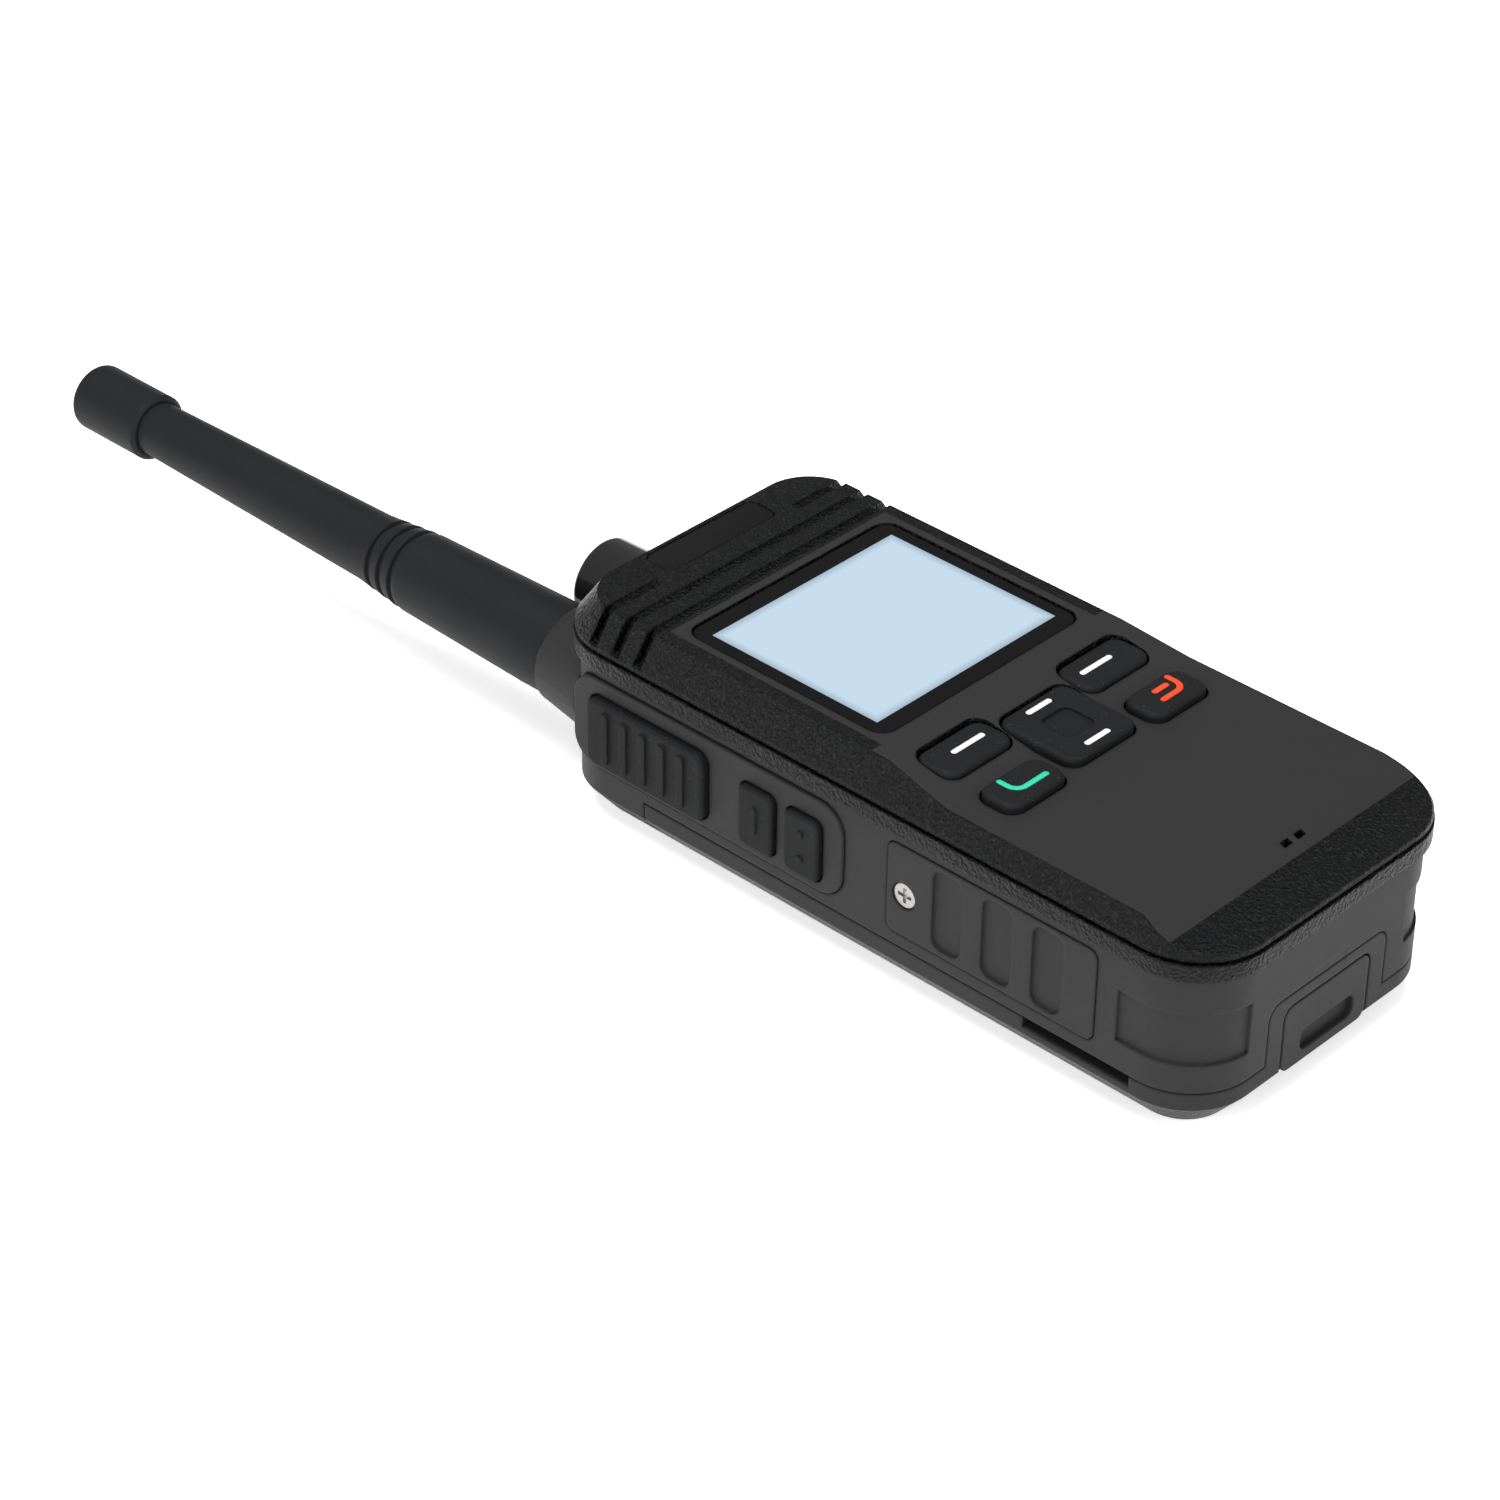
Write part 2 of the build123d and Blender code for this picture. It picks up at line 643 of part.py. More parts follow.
# ---- knobs on their shafts, bushes and control bodies ----
knobs = [
    ("volume", volume_x, volume_z, volume_radius, volume_length, 0),
    ("channel", channel_x, channel_z, channel_radius, channel_length, 12),
]
shaft_reach = 6.0
for knob_name, knob_x, knob_z, knob_radius, knob_length, flutes in knobs:
    knob_start = top_y + knob_gap
    with BuildPart() as knob:
        with BuildSketch(end_plane(knob_start)):
            with Locations((-knob_x, knob_z)):
                Circle(knob_radius)
        extrude(amount=knob_length, taper=1.5)
        fillet(knob.faces().sort_by(Axis.Y)[-1].edges(), 0.9)
        if flutes:
            with BuildSketch(end_plane(knob_start)):
                with Locations((-knob_x, knob_z)):
                    with PolarLocations(knob_radius + 0.5, flutes):
                        Circle(1.25)
            extrude(amount=knob_length + 1, mode=Mode.SUBTRACT)
        with BuildSketch(end_plane(knob_start)):
            with Locations((-knob_x, knob_z)):
                Circle(shaft_radius)
        extrude(amount=shaft_reach, mode=Mode.SUBTRACT)
        # bore flat that drives the shaft
        with BuildSketch(end_plane(knob_start)):
            with Locations((-knob_x, knob_z + shaft_radius - flat_depth / 2)):
                Rectangle(2 * shaft_radius, flat_depth)
        extrude(amount=shaft_reach)
    save(knob, knob_name + "_knob")

    with BuildPart() as shaft:
        with BuildSketch(end_plane(inner_top_y - 3)):
            with Locations((-knob_x, knob_z)):
                Circle(shaft_radius - 0.05)
        extrude(amount=knob_start + shaft_reach - 0.1 - inner_top_y + 3)
        with BuildSketch(end_plane(knob_start - 0.1)):
            with Locations((-knob_x, knob_z + shaft_radius - flat_depth / 2)):
                Rectangle(2 * shaft_radius, flat_depth + 0.1)
        extrude(amount=shaft_reach + 1, mode=Mode.SUBTRACT)
    save(shaft, knob_name + "_shaft")

    with BuildPart() as control_body:
        with BuildSketch(end_plane(inner_top_y - pot_depth)):
            with Locations((-knob_x, knob_z)):
                Rectangle(pot_size, pot_size - 1.6)
        extrude(amount=pot_depth - fit)
        with BuildSketch(end_plane(inner_top_y - fit)):
            with Locations((-knob_x, knob_z)):
                Circle(shaft_radius + bush_wall)
        extrude(amount=2 * wall + fit)
        with BuildSketch(end_plane(inner_top_y - 3.1)):
            with Locations((-knob_x, knob_z)):
                Circle(shaft_radius)
        extrude(amount=3.1 + 2 * wall, mode=Mode.SUBTRACT)
    save(control_body, ("volume_control", "channel_encoder")[flutes > 0])

# ---- electronics ----
with BuildPart() as main_board:
    with BuildSketch(Plane.XY.offset(floor_top + 1.2)):
        with Locations((1.5, -3)):
            RectangleRounded(2 * inner_half_x - 6, board_length, 4)
        with Locations(*screw_places):
            Circle(post_radius + run, mode=Mode.SUBTRACT)
    extrude(amount=board_thickness)
    with BuildSketch(Plane.XY.offset(floor_top + 1.2 + board_thickness)):
        with Locations((2, 12), (6, -14)):
            Rectangle(24, 18)
    extrude(amount=1.6)
save(main_board, "main_board")

with BuildPart() as speaker:
    with BuildSketch(Plane.XY.offset(ceiling_z - fit - speaker_height)):
        with Locations((0, speaker_y)):
            Circle(speaker_radius)
    extrude(amount=speaker_height)
    with BuildSketch(Plane.XY.offset(ceiling_z - fit - 1.2)):
        with Locations((0, speaker_y)):
            Circle(speaker_radius + 0.5)
    extrude(amount=1.2)
save(speaker, "speaker")

with BuildPart() as microphone:
    with BuildSketch(Plane.XY.offset(shell_bottom - mic_height - 0.3)):
        with Locations((mic_x, mic_y + 0.1)):
            Circle(mic_radius)
    extrude(amount=mic_height)
save(microphone, "microphone")

# ---- battery pack: case with end tongue, cells, contacts ----
with BuildPart() as battery_case:
    with BuildSketch(Plane.XY.offset(back_bevel)):
        outline(0)
    extrude(amount=battery_height - back_bevel)
    with BuildSketch(Plane.XY.offset(back_bevel)):
        outline(0)
    extrude(amount=-back_bevel, taper=40)
    with BuildSketch(Plane.XY):
        with Locations((0, cell_pocket_y + 20)):
            Rectangle(body_width + 4, 40)
    extrude(amount=battery_height, mode=Mode.SUBTRACT)
    # grip slots along both lower sides, under the seam
    with BuildSketch(Plane.XY.offset(battery_height - 1.5)):
        with Locations((-half_width, -36), (half_width, -36)):
            RectangleRounded(5.0, 17.0, 1.0)
    extrude(amount=2, mode=Mode.SUBTRACT)
    # tongue that rises into the lower end of the housing
    with BuildSketch(Plane.XZ.offset(-bottom_y - tongue_depth)):
        with Locations((0, (battery_height + tongue_top) / 2 - 1)):
            RectangleRounded(2 * tongue_half_width, tongue_top - battery_height + 2, 2.0)
    extrude(amount=tongue_depth)
    # pocket for the cells
    with BuildSketch(Plane.XY.offset(1.2)):
        with Locations((0, cell_y)):
            RectangleRounded(cell_width + 0.2 + 2 * fit, cell_length + 2 * fit, 1.2)
    extrude(amount=cell_height + 2 * fit, mode=Mode.SUBTRACT)
    # pocket for the latch on the end face
    with BuildSketch(Plane.XZ.offset(-bottom_y - latch_thickness - run)):
        with Locations((0, (latch_top + latch_bottom) / 2 - latch_travel / 2)):
            RectangleRounded(latch_width + 2 * run, latch_top - latch_bottom + latch_travel + 2 * run, 1.8)
    extrude(amount=4, mode=Mode.SUBTRACT)
    # slot for the latch bolt and recess for the leaf spring
    with BuildSketch(Plane.XZ.offset(-bottom_y - bolt_back - bolt_thickness - run)):
        with Locations((0, tongue_top)):
            Rectangle(bolt_width + 2 * run, 2 * latch_gap + 2)
    extrude(amount=bolt_thickness + 2 * run, mode=Mode.SUBTRACT)
    with BuildSketch(Plane.XZ.offset(-bottom_y - latch_thickness - run - leaf_size[2] - 0.05)):
        with Locations((0, battery_height + 2)):
            Rectangle(leaf_size[0] + 2 * fit, leaf_size[1] + 2 * fit)
    extrude(amount=1, mode=Mode.SUBTRACT)
save(battery_case, "battery_case")

with BuildPart() as battery_cells:
    with BuildSketch(Plane.XY.offset(1.2 + fit)):
        with Locations((-cell_width / 4 - 0.1, cell_y), (cell_width / 4 + 0.1, cell_y)):
            RectangleRounded(cell_width / 2, cell_length, 1.2)
    extrude(amount=cell_height)
save(battery_cells, "battery_cells")

with BuildPart() as battery_contacts:
    with BuildSketch(Plane.XY.offset(battery_height)):
        with Locations((0, cell_pocket_y - 6)):
            with GridLocations(4.5, 0, 4, 1):
                Rectangle(2.4, 5.0)
    extrude(amount=seam_gap - 0.05)
save(battery_contacts, "battery_contacts")

with BuildPart() as battery_latch:
    with BuildSketch(Plane.XZ.offset(-bottom_y - latch_thickness)):
        with Locations((0, (latch_top + latch_bottom) / 2)):
            RectangleRounded(latch_width, latch_top - latch_bottom, 1.5)
    extrude(amount=latch_thickness)
    with BuildSketch(Plane.XZ.offset(-bottom_y - bolt_back - bolt_thickness)):
        with Locations((0, latch_top)):
            Rectangle(bolt_width, 2 * bolt_rise)
    extrude(amount=bolt_thickness)
    # finger recess
    with BuildSketch(Plane.XZ.offset(-bottom_y - 0.9)):
        with Locations((0.5, latch_bottom + 3.2)):
            RectangleRounded(10.6, 3.4, 1.2)
    extrude(amount=2, mode=Mode.SUBTRACT)
save(battery_latch, "battery_latch")

with BuildPart() as latch_spring:
    with BuildSketch(Plane.XZ.offset(-bottom_y - latch_thickness - run - leaf_size[2])):
        with Locations((0, battery_height + 2)):
            Rectangle(leaf_size[0], leaf_size[1])
    extrude(amount=leaf_size[2])
save(latch_spring, "latch_spring")

with BuildPart() as chassis_screws:
    with BuildSketch(Plane.XY.offset(screw_seat_z - screw_head_height)):
        with Locations(*screw_places):
            Circle(screw_head_radius)
    extrude(amount=screw_head_height)
    with BuildSketch(Plane.XY.offset(screw_seat_z)):
        with Locations(*screw_places):
            Circle(screw_radius)
    extrude(amount=shell_bottom + screw_grip - screw_seat_z)
    with BuildSketch(Plane.XY.offset(screw_seat_z - screw_head_height)):
        with Locations(*screw_places):
            Rectangle(2.4, 0.5)
            Rectangle(0.5, 2.4)
    extrude(amount=0.7, mode=Mode.SUBTRACT)
save(chassis_screws, "chassis_screws")
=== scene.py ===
import math
import bmesh
import bpy
from mathutils import Matrix, Vector


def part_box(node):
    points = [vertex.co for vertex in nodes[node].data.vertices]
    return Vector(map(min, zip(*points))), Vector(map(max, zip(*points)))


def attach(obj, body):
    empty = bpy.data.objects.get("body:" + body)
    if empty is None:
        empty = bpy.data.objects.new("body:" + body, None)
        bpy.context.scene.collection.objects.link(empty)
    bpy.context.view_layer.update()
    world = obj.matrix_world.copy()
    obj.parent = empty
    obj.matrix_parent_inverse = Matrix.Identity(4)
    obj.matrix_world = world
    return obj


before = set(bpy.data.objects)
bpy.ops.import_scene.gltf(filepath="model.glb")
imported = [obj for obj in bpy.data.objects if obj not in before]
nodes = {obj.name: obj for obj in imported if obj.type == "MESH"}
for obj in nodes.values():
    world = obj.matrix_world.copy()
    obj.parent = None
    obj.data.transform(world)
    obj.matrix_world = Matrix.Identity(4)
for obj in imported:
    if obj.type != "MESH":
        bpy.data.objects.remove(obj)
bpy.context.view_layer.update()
mm = 0.001
print("frame loaded")

box = {name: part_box(name) for name in nodes}


# small helpers for node trees
def place(tree, kind, **values):
    # makes one node, sets its plain properties and its unlinked inputs
    node = tree.nodes.new(kind)
    for key, value in values.items():
        if hasattr(node, key):
            setattr(node, key, value)
        else:
            node.inputs[key.replace("_", " ")].default_value = value
    return node


def maths(tree, operation, first, second=None):
    node = place(tree, "ShaderNodeMath", operation=operation)
    for slot, value in enumerate((first, second)):
        if value is None:
            continue
        if isinstance(value, (int, float)):
            node.inputs[slot].default_value = value
        else:
            tree.links.new(value, node.inputs[slot])
    return node.outputs[0]


def blendColour(tree, factor, first, second):
    node = place(tree, "ShaderNodeMix", data_type="RGBA")
    for slot, value in ((0, factor), (6, first), (7, second)):
        if isinstance(value, (int, float, tuple)):
            node.inputs[slot].default_value = value
        else:
            tree.links.new(value, node.inputs[slot])
    return node.outputs[2]


def newGroup(name, inputs, outputs):
    group = bpy.data.node_groups.new(name, "ShaderNodeTree")
    for label, kind, value in inputs:
        socket = group.interface.new_socket(label, in_out="INPUT", socket_type=kind)
        if value is not None:
            socket.default_value = value
    for label, kind in outputs:
        group.interface.new_socket(label, in_out="OUTPUT", socket_type=kind)
    return group, group.nodes.new("NodeGroupInput"), group.nodes.new("NodeGroupOutput")


grainLook = {"pebbles": 2100.0, "fineShare": 0.9, "pebbleHeight": -0.7, "peakLevel": 0.6}


# spark-eroded mould texture: pebbled height, and flat-topped peak spots which the shell uses for painted
# highlight glints
def makeMouldGrain():
    group, given, out = newGroup(
        "mouldGrain",
        [("Scale", "NodeSocketFloat", 1.0)],
        [("Height", "NodeSocketFloat"), ("Peaks", "NodeSocketFloat")])
    coords = place(group, "ShaderNodeTexCoord")
    size = maths(group, "MULTIPLY", given.outputs["Scale"], grainLook["pebbles"])
    pebble = place(group, "ShaderNodeTexVoronoi", feature="SMOOTH_F1")
    fine = place(group, "ShaderNodeTexNoise", Detail=3.0, Roughness=0.6)
    for texture in (pebble, fine):
        group.links.new(coords.outputs["Object"], texture.inputs["Vector"])
    group.links.new(size, pebble.inputs["Scale"])
    group.links.new(maths(group, "MULTIPLY", size, grainLook["fineShare"]), fine.inputs["Scale"])
    pebbles = maths(group, "MULTIPLY", pebble.outputs["Distance"], grainLook["pebbleHeight"])
    height = maths(group, "ADD", pebbles, fine.outputs[0])
    group.links.new(height, out.inputs["Height"])
    group.links.new(maths(group, "GREATER_THAN", fine.outputs[0], grainLook["peakLevel"]),
                    out.inputs["Peaks"])
    return group


satinLook = {"fine": 9000.0, "drift": 60.0}


# satin moulding: very fine noise and slow tone drift from handling
def makeSatin():
    group, given, out = newGroup(
        "satinMoulding",
        [("Scale", "NodeSocketFloat", 1.0)],
        [("Height", "NodeSocketFloat"), ("Drift", "NodeSocketFloat")])
    coords = place(group, "ShaderNodeTexCoord")
    fine = place(group, "ShaderNodeTexNoise", Detail=2.0)
    slow = place(group, "ShaderNodeTexNoise", Detail=4.0, Scale=satinLook["drift"])
    for texture in (fine, slow):
        group.links.new(coords.outputs["Object"], texture.inputs["Vector"])
    group.links.new(maths(group, "MULTIPLY", given.outputs["Scale"], satinLook["fine"]),
                    fine.inputs["Scale"])
    group.links.new(fine.outputs[0], out.inputs["Height"])
    group.links.new(slow.outputs[0], out.inputs["Drift"])
    return group


lintLook = {"cells": 1500.0, "tone": (0.3, 0.3, 0.3, 1), "strength": 0.35}


# lint: sparse pale specks that settle on rubber
def makeLint():
    group, given, out = newGroup(
        "lint",
        [("Amount", "NodeSocketFloat", 0.08)],
        [("Mask", "NodeSocketFloat")])
    coords = place(group, "ShaderNodeTexCoord")
    speck = place(group, "ShaderNodeTexVoronoi", Scale=lintLook["cells"])
    group.links.new(coords.outputs["Object"], speck.inputs["Vector"])
    group.links.new(maths(group, "LESS_THAN", speck.outputs["Distance"], given.outputs["Amount"]),
                    out.inputs["Mask"])
    return group


mouldGrain, satinMoulding, lint = makeMouldGrain(), makeSatin(), makeLint()
print("effects ready")


def startMaterial(name, roughness, **sockets):
    material = bpy.data.materials.new(name)
    material.use_nodes = True
    tree = material.node_tree
    shader = tree.nodes["Principled BSDF"]
    shader.inputs["Roughness"].default_value = roughness
    for key, value in sockets.items():
        shader.inputs[key.replace("_", " ")].default_value = value
    return material, tree, shader


def effect(tree, group, **values):
    node = place(tree, "ShaderNodeGroup", node_tree=group)
    for key, value in values.items():
        node.inputs[key].default_value = value
    return node


def softEdge(tree, radius):
    # rounds the moulded edges in the shading
    return place(tree, "ShaderNodeBevel", samples=6, Radius=radius).outputs[0]


def bumpFrom(tree, shader, height, strength, distance, edge=0.0003):
    bump = place(tree, "ShaderNodeBump", Strength=strength, Distance=distance)
    tree.links.new(height, bump.inputs["Height"])
    tree.links.new(softEdge(tree, edge), bump.inputs["Normal"])
    tree.links.new(bump.outputs[0], shader.inputs["Normal"])


def axisValues(tree):
    # object coordinates and the facing direction of the surface
    spot = place(tree, "ShaderNodeSeparateXYZ")
    facing = place(tree, "ShaderNodeSeparateXYZ")
    coords = place(tree, "ShaderNodeTexCoord")
    tree.links.new(coords.outputs["Object"], spot.inputs[0])
    tree.links.new(coords.outputs["Normal"], facing.inputs[0])
    return spot.outputs, facing.outputs


# the glint colour and its share are a painted highlight on the grain's peak spots
shellLook = {"satin": (0.019, 0.019, 0.0195, 1), "worn": (0.0135, 0.0135, 0.014, 1),
             "grain": (0.0012, 0.0014, 0.0017, 1), "paintedGlint": (0.016, 0.017, 0.019, 1),
             "paintedGlintShare": 0.55, "wornShare": 0.3, "specular": 0.13,
             "roughness": 0.48, "grainRoughness": -0.2, "driftRoughness": 0.08,
             "satinHeight": 0.12, "bumpDepth": 0.0005, "edge": 0.0007}


def shellPlastic(name, roughMask):
    # satin flats with spark-eroded bevels; roughMask says where the texture lies
    look = shellLook
    material, tree, shader = startMaterial(name, look["roughness"], Specular_IOR_Level=look["specular"])
    grain = effect(tree, mouldGrain, Scale=1.0)
    satin = effect(tree, satinMoulding, Scale=1.0)
    drift = satin.outputs["Drift"]
    mask = roughMask(tree)
    # painted highlight: the grain's peak spots are blended towards the lighter glint colour, glints painted
    # into the base colour
    paintedGlint = blendColour(tree, maths(tree, "MULTIPLY", grain.outputs["Peaks"], look["paintedGlintShare"]),
                        look["grain"], look["paintedGlint"])
    tone = blendColour(tree, maths(tree, "MULTIPLY", drift, look["wornShare"]), look["satin"], look["worn"])
    tree.links.new(blendColour(tree, mask, tone, paintedGlint), shader.inputs["Base Color"])
    rough = maths(tree, "ADD", look["roughness"], maths(tree, "MULTIPLY", mask, look["grainRoughness"]))
    rough = maths(tree, "ADD", rough, maths(tree, "MULTIPLY", drift, look["driftRoughness"]))
    tree.links.new(rough, shader.inputs["Roughness"])
    height = maths(tree, "ADD", maths(tree, "MULTIPLY", grain.outputs["Height"], mask),
                   maths(tree, "MULTIPLY", satin.outputs["Height"], look["satinHeight"]))
    bumpFrom(tree, shader, height, 1.0, look["bumpDepth"], look["edge"])
    return material


# where the mould texture starts and stops, in mm, and how far a face may tilt
zones = {"flat": 0.9, "chinEdge": -48.7, "keypadTop": 0.5, "rimBottom": 0.0, "rimTop": 37.2,
         "rimHalf": 20.6, "grooveHeight": 24.15, "backSlope": -0.3, "aboveAll": 1000.0}


def shellMask(tree):
    # front shell: smooth on the keypad plane and round the glass, textured elsewhere
    spot, facing = axisValues(tree)
    flat = maths(tree, "GREATER_THAN", facing[2], zones["flat"])
    behindChin = maths(tree, "GREATER_THAN", spot[1], zones["chinEdge"] * mm)
    belowScreen = maths(tree, "LESS_THAN", spot[1], zones["keypadTop"] * mm)
    inside = maths(tree, "LESS_THAN", maths(tree, "ABSOLUTE", spot[0]), zones["rimHalf"] * mm)
    belowTop = maths(tree, "LESS_THAN", spot[1], zones["rimTop"] * mm)
    rim = maths(tree, "MULTIPLY", maths(tree, "GREATER_THAN", spot[1], zones["rimBottom"] * mm),
                maths(tree, "MULTIPLY", belowTop, inside))
    smooth = maths(tree, "MULTIPLY", flat,
                   maths(tree, "MAXIMUM", rim, maths(tree, "MULTIPLY", behindChin, belowScreen)))
    return maths(tree, "SUBTRACT", 1.0, smooth)


def housingMask(tree):
    # rear housing: textured band along the parting groove, satin walls
    spot = axisValues(tree)[0]
    return maths(tree, "GREATER_THAN", spot[2], zones["grooveHeight"] * mm)


def bevelMask(tree):
    # battery case: textured on the slopes towards the back and on the back face
    facing = axisValues(tree)[1]
    return maths(tree, "LESS_THAN", facing[2], zones["backSlope"])


def noMask(tree):
    # satin all over, because no piece reaches this high
    spot = axisValues(tree)[0]
    return maths(tree, "GREATER_THAN", spot[2], zones["aboveAll"] * mm)


rubberLook = {"specular": 0.1, "darkShare": 0.7, "smoothest": -0.08, "driftRoughness": 0.18,
              "bump": 0.35, "bumpDepth": 0.00006, "edge": 0.00035}


def rubber(name, colour, specks, roughness=0.62):
    look = rubberLook
    material, tree, shader = startMaterial(name, roughness, Specular_IOR_Level=look["specular"])
    satin = effect(tree, satinMoulding, Scale=0.8)
    dust = effect(tree, lint, Amount=specks)
    drift = satin.outputs["Drift"]
    darker = tuple(look["darkShare"] * part for part in colour[:3]) + (1,)
    tone = blendColour(tree, drift, colour, darker)
    dusty = maths(tree, "MULTIPLY", dust.outputs["Mask"], lintLook["strength"])
    tree.links.new(blendColour(tree, dusty, tone, lintLook["tone"]), shader.inputs["Base Color"])
    rough = maths(tree, "ADD", roughness + look["smoothest"],
                  maths(tree, "MULTIPLY", drift, look["driftRoughness"]))
    tree.links.new(rough, shader.inputs["Roughness"])
    bumpFrom(tree, shader, satin.outputs["Height"], look["bump"], look["bumpDepth"], look["edge"])
    return material


polishedLook = {"smear": (0.014, 0.014, 0.015, 1), "driftRoughness": 0.06,
                "bump": 0.05, "bumpDepth": 0.00002, "edge": 0.0003}


def polished(name, colour, roughness, specular):
    # polished black plastic with faint handling smears
    look = polishedLook
    material, tree, shader = startMaterial(name, roughness, Specular_IOR_Level=specular)
    satin = effect(tree, satinMoulding, Scale=0.2)
    drift = satin.outputs["Drift"]
    tree.links.new(blendColour(tree, drift, colour, look["smear"]), shader.inputs["Base Color"])
    rough = maths(tree, "ADD", roughness, maths(tree, "MULTIPLY", drift, look["driftRoughness"]))
    tree.links.new(rough, shader.inputs["Roughness"])
    bumpFrom(tree, shader, satin.outputs["Height"], look["bump"], look["bumpDepth"], look["edge"])
    return material


metalLook = {"darkShare": 0.6, "driftRoughness": 0.15, "bump": 0.2, "bumpDepth": 0.00003, "edge": 0.00015}


def metal(name, colour, roughness):
    look = metalLook
    material, tree, shader = startMaterial(name, roughness, Metallic=1.0)
    satin = effect(tree, satinMoulding, Scale=0.4)
    drift = satin.outputs["Drift"]
    dark = tuple(look["darkShare"] * part for part in colour[:3]) + (1,)
    tree.links.new(blendColour(tree, drift, colour, dark), shader.inputs["Base Color"])
    rough = maths(tree, "ADD", roughness, maths(tree, "MULTIPLY", drift, look["driftRoughness"]))
    tree.links.new(rough, shader.inputs["Roughness"])
    bumpFrom(tree, shader, satin.outputs["Height"], look["bump"], look["bumpDepth"], look["edge"])
    return material


# the edge colour is a painted shadow of the border on the lit field, spread over the given width
displayLook = {"halfWidth": 17.2 * mm, "halfLength": 14.3 * mm, "centreY": 18.6 * mm,
               "field": (0.62, 0.79, 0.93, 1), "edge": (0.40, 0.52, 0.63, 1), "paintedShadeWidth": 1.3 * mm,
               "glow": 0.9, "specular": 0.06, "roughness": 0.1, "driftRoughness": 0.05,
               "inkDark": (0.004, 0.004, 0.004, 1), "inkLight": (0.007, 0.007, 0.008, 1)}


def lensGlass():
    # black printed border with the lit field in its middle; the field's glow darkens softly along its edges
    # as painted shadow of the border
    look = displayLook
    material, tree, shader = startMaterial("lensGlass", look["roughness"],
                                           Specular_IOR_Level=look["specular"],
                                           Emission_Strength=look["glow"])
    spot, facing = axisValues(tree)
    satin = effect(tree, satinMoulding, Scale=0.2)
    across = maths(tree, "SUBTRACT", look["halfWidth"], maths(tree, "ABSOLUTE", spot[0]))
    along = maths(tree, "SUBTRACT", look["halfLength"],
                  maths(tree, "ABSOLUTE", maths(tree, "SUBTRACT", spot[1], look["centreY"])))
    inset = maths(tree, "MINIMUM", across, along)
    lit = maths(tree, "MULTIPLY", maths(tree, "GREATER_THAN", inset, 0.0),
                maths(tree, "GREATER_THAN", facing[2], 0.5))
    # painted shadow: the glow darkens from the field colour to the edge colour towards the border
    edgeShadeRamp = place(tree, "ShaderNodeMapRange", To_Min=0.0, To_Max=1.0)
    edgeShadeRamp.inputs["From Min"].default_value = 0.0
    edgeShadeRamp.inputs["From Max"].default_value = look["paintedShadeWidth"]
    tree.links.new(inset, edgeShadeRamp.inputs["Value"])
    field = blendColour(tree, edgeShadeRamp.outputs[0], look["edge"], look["field"])
    glow = blendColour(tree, lit, (0, 0, 0, 1), field)
    tree.links.new(glow, shader.inputs["Emission Color"])
    ink = blendColour(tree, satin.outputs["Drift"], look["inkDark"], look["inkLight"])
    tree.links.new(ink, shader.inputs["Base Color"])
    smear = maths(tree, "MULTIPLY", satin.outputs["Drift"], look["driftRoughness"])
    tree.links.new(maths(tree, "ADD", look["roughness"], smear), shader.inputs["Roughness"])
    return material


boardLook = {"cells": 300.0, "green": (0.02, 0.12, 0.05, 1), "paler": (0.03, 0.18, 0.07, 1),
             "track": (0.05, 0.24, 0.1, 1), "roughness": 0.4, "bump": 0.2, "bumpDepth": 0.00004}


def circuitBoard():
    # green solder mask with copper tracks under it
    look = boardLook
    material, tree, shader = startMaterial("circuitBoard", look["roughness"])
    coords = place(tree, "ShaderNodeTexCoord")
    tracks = place(tree, "ShaderNodeTexBrick", Scale=look["cells"], Color1=look["green"],
                   Color2=look["paler"], Mortar=look["track"])
    tree.links.new(coords.outputs["Object"], tracks.inputs["Vector"])
    tree.links.new(tracks.outputs["Color"], shader.inputs["Base Color"])
    satin = effect(tree, satinMoulding, Scale=0.4)
    bumpFrom(tree, shader, satin.outputs["Height"], look["bump"], look["bumpDepth"])
    return material


looks = {
    "frontShell": shellPlastic("frontShell", shellMask),
    "rearHousing": shellPlastic("rearHousing", housingMask),
    "batteryCase": shellPlastic("batteryCase", bevelMask),
    "sidePlastic": shellPlastic("sidePlastic", noMask),
    "keyRubber": rubber("keyRubber", (0.010, 0.0104, 0.0112, 1), 0.07),
    "antennaRubber": rubber("antennaRubber", (0.012, 0.0125, 0.0135, 1), 0.03, 0.55),
    "knobPlastic": rubber("knobPlastic", (0.010, 0.010, 0.0108, 1), 0.02, 0.45),
    "polishedBlack": polished("polishedBlack", (0.004, 0.004, 0.004, 1), 0.05, 0.6),
    "badgeBlack": polished("badgeBlack", (0.002, 0.002, 0.002, 1), 0.1, 0.06),
    "lensGlass": lensGlass(),
    "nickel": metal("nickel", (0.42, 0.41, 0.40, 1), 0.25),
    "goldPlate": metal("goldPlate", (0.8, 0.6, 0.28, 1), 0.2),
    "circuitBoard": circuitBoard(),
    "cellWrap": rubber("cellWrap", (0.05, 0.12, 0.4, 1), 0.01, 0.3),
    "whiteInk": rubber("whiteInk", (0.85, 0.85, 0.85, 1), 0.0, 0.5),
    "greenInk": rubber("greenInk", (0.03, 0.55, 0.33, 1), 0.0, 0.5),
    "redInk": rubber("redInk", (0.85, 0.07, 0.025, 1), 0.0, 0.5),
}
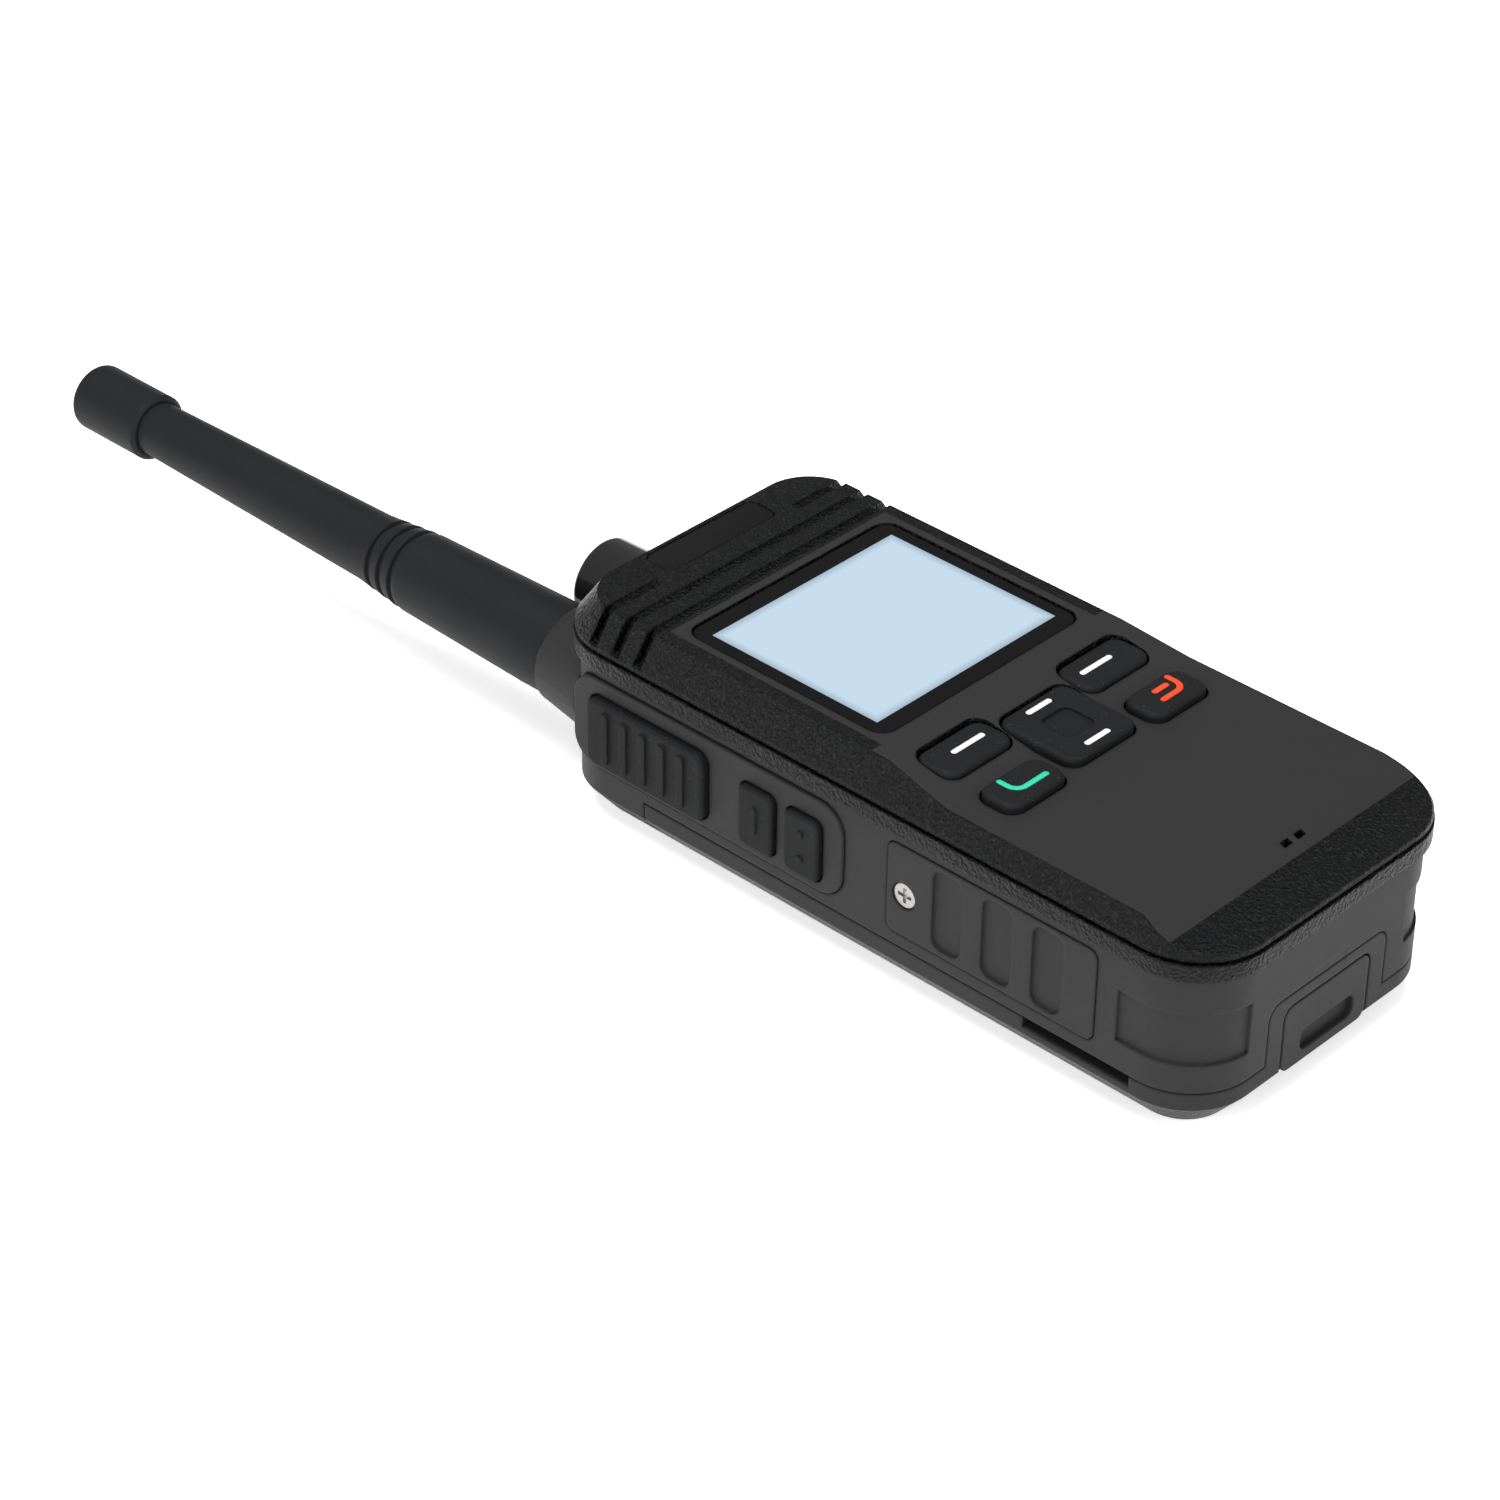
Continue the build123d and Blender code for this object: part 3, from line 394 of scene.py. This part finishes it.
wears = {
    "front_shell": "frontShell", "rear_housing": "rearHousing", "battery_case": "batteryCase",
    "ptt_bezel": "sidePlastic", "battery_latch": "sidePlastic", "accessory_cover": "sidePlastic",
    "screen_lens": "lensGlass", "badge_plate": "badgeBlack", "volume_knob": "polishedBlack",
    "channel_knob": "knobPlastic", "antenna_sleeve": "antennaRubber", "antenna_cap": "antennaRubber",
    "antenna_connector": "goldPlate", "battery_contacts": "goldPlate", "battery_cells": "cellWrap",
    "main_board": "circuitBoard", "keypad_board": "circuitBoard", "side_switch_board": "circuitBoard",
    "accessory_screw": "nickel", "chassis_screws": "nickel", "latch_spring": "nickel",
    "volume_shaft": "nickel", "channel_shaft": "nickel", "volume_control": "nickel",
    "channel_encoder": "nickel", "microphone": "nickel", "speaker": "knobPlastic",
    "display_module": "knobPlastic",
}
for name, thing in nodes.items():
    thing.data.materials.clear()
    thing.data.materials.append(looks[wears.get(name, "keyRubber")])
print("materials on", len(nodes), "nodes")


# printed marks on the keys: thin raised ink strokes with round ends
def stroke(name, points, width, top, thickness, material, body):
    # a rounded ribbon through the points, lying on the key
    mesh = bmesh.new()
    steps = marks["endSteps"]
    left, right = [], []
    for index, (x, y) in enumerate(points):
        before = Vector(points[max(index - 1, 0)])
        after = Vector(points[min(index + 1, len(points) - 1)])
        side = Vector((-(after - before).y, (after - before).x)).normalized() * width / 2
        left.append(Vector((x, y)) + side)
        right.append(Vector((x, y)) - side)
    ring = list(left)
    for centre, start in ((points[-1], left[-1]), (points[0], right[0])):
        arm = start - Vector(centre)
        for step in range(1, steps):
            turn = Matrix.Rotation(-math.pi * step / steps, 2)
            ring.append(Vector(centre) + turn @ arm)
        if centre == points[-1]:
            ring.extend(reversed(right))
    face = mesh.faces.new([mesh.verts.new((p.x * mm, p.y * mm, top)) for p in ring])
    lifted = bmesh.ops.extrude_face_region(mesh, geom=[face])
    moved = [item for item in lifted["geom"] if isinstance(item, bmesh.types.BMVert)]
    bmesh.ops.translate(mesh, verts=moved, vec=(0, 0, thickness))
    bmesh.ops.recalc_face_normals(mesh, faces=mesh.faces)
    data = bpy.data.meshes.new(name)
    mesh.to_mesh(data)
    mesh.free()
    piece = bpy.data.objects.new(name, data)
    bpy.context.scene.collection.objects.link(piece)
    data.materials.append(looks[material])
    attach(piece, body)
    return piece


marks = {"width": 0.85, "thickness": 0.06 * mm, "sink": 0.03 * mm, "endSteps": 8}
keyTop = box["soft_key_left"][1][2] - marks["sink"]


def arc(cx, cy, radius, start, end, steps=7):
    turns = [math.radians(start + (end - start) * step / steps) for step in range(steps + 1)]
    return [(cx + radius * math.cos(turn), cy + radius * math.sin(turn)) for turn in turns]


# each mark's centre line in mm, its ink and the key that it rides on
strokes = [
    ("softMarkLeft", [(-15.0, -6.6), (-9.8, -6.6)], "whiteInk", "soft_key_left"),
    ("softMarkRight", [(9.8, -6.6), (15.0, -6.6)], "whiteInk", "soft_key_right"),
    ("navMarkUpper", [(-1.9, -7.6), (1.9, -7.6)], "whiteInk", "nav_key"),
    ("navMarkLower", [(-1.9, -17.2), (1.9, -17.2)], "whiteInk", "nav_key"),
    ("callMark", [(-16.0, -14.9), (-16.0, -16.2)] + arc(-14.4, -16.2, 1.6, 180, 270) + [(-10.6, -17.8)],
     "greenInk", "call_key"),
    ("endMark", [(16.6, -14.9), (16.6, -16.2)] + arc(15.0, -16.2, 1.6, 0, -90) + [(12.3, -17.8)],
     "redInk", "end_key"),
    ("endMarkBar", [(12.9, -15.9), (15.1, -15.9)], "redInk", "end_key"),
]
for name, points, ink, body in strokes:
    stroke(name, points, marks["width"], keyTop, marks["thickness"], ink, body)
print("key marks done")

# floor, light and camera
floorLook = {"half": 6.0, "drop": 0.0002, "colour": (0.93, 0.93, 0.93, 1), "glow": 0.5,
             "roughness": 0.9, "specular": 0.1}
bpy.ops.mesh.primitive_plane_add(size=2 * floorLook["half"], location=(0, 0, -floorLook["drop"]))
floor = bpy.context.object
floor.name = "studioFloor"
floorMaterial, floorTree, floorShader = startMaterial(
    "studioFloor", floorLook["roughness"], Specular_IOR_Level=floorLook["specular"])
floorShader.inputs["Base Color"].default_value = floorLook["colour"]
floorShader.inputs["Emission Color"].default_value = (1, 1, 1, 1)
floorShader.inputs["Emission Strength"].default_value = floorLook["glow"]
floor.data.materials.append(floorMaterial)


# place, aimed point and size in metres, power in watts
lamps = {
    "overhead": {"spot": (-0.1, 0.1, 0.9), "target": (0, 0, 0), "size": (0.6, 0.6), "power": 10},
    "leftFill": {"spot": (-0.9, -0.1, 0.45), "target": (0, 0, 0.01), "size": (0.6, 0.4), "power": 5.5},
    "frontFill": {"spot": (0.2, -0.9, 0.4), "target": (0, 0, 0.01), "size": (0.8, 0.4), "power": 5},
}
ambient = {"colour": (1, 1, 1, 1), "strength": 0.33}


def softBox(name, spot, target, size, power):
    data = bpy.data.lights.new(name, "AREA")
    data.shape = "RECTANGLE"
    data.size, data.size_y = size
    data.energy = power
    lamp = bpy.data.objects.new(name, data)
    lamp.location = spot
    lamp.rotation_euler = (Vector(target) - Vector(spot)).to_track_quat("-Z", "Y").to_euler()
    bpy.context.scene.collection.objects.link(lamp)


for name, lamp in lamps.items():
    softBox(name, **lamp)
world = bpy.data.worlds.new("studioWorld")
world.use_nodes = True
background = world.node_tree.nodes["Background"]
background.inputs["Color"].default_value = ambient["colour"]
background.inputs["Strength"].default_value = ambient["strength"]
bpy.context.scene.world = world
bpy.context.scene.view_settings.view_transform = "Standard"

viewer = {"azimuth": -46.92, "elevation": 34.476, "roll": 0.706, "place": (-372.9, -306.6, 351.6),
          "lens": 109.4, "sensor": 36.0}
azimuth, elevation, roll = (math.radians(viewer[key]) for key in ("azimuth", "elevation", "roll"))
back = Vector((math.sin(azimuth) * math.cos(elevation), -math.cos(azimuth) * math.cos(elevation),
               math.sin(elevation)))
level = Vector((0, 0, 1)).cross(back).normalized()
upright = back.cross(level)
right = math.cos(roll) * level + math.sin(roll) * upright
upwards = math.cos(roll) * upright - math.sin(roll) * level
cameraData = bpy.data.cameras.new("studioCamera")
cameraData.lens, cameraData.sensor_width = viewer["lens"], viewer["sensor"]
camera = bpy.data.objects.new("studioCamera", cameraData)
camera.matrix_world = Matrix((
    (right.x, upwards.x, back.x, viewer["place"][0] * mm),
    (right.y, upwards.y, back.y, viewer["place"][1] * mm),
    (right.z, upwards.z, back.z, viewer["place"][2] * mm),
    (0, 0, 0, 1)))
bpy.context.scene.collection.objects.link(camera)
bpy.context.scene.camera = camera
print("studio ready")
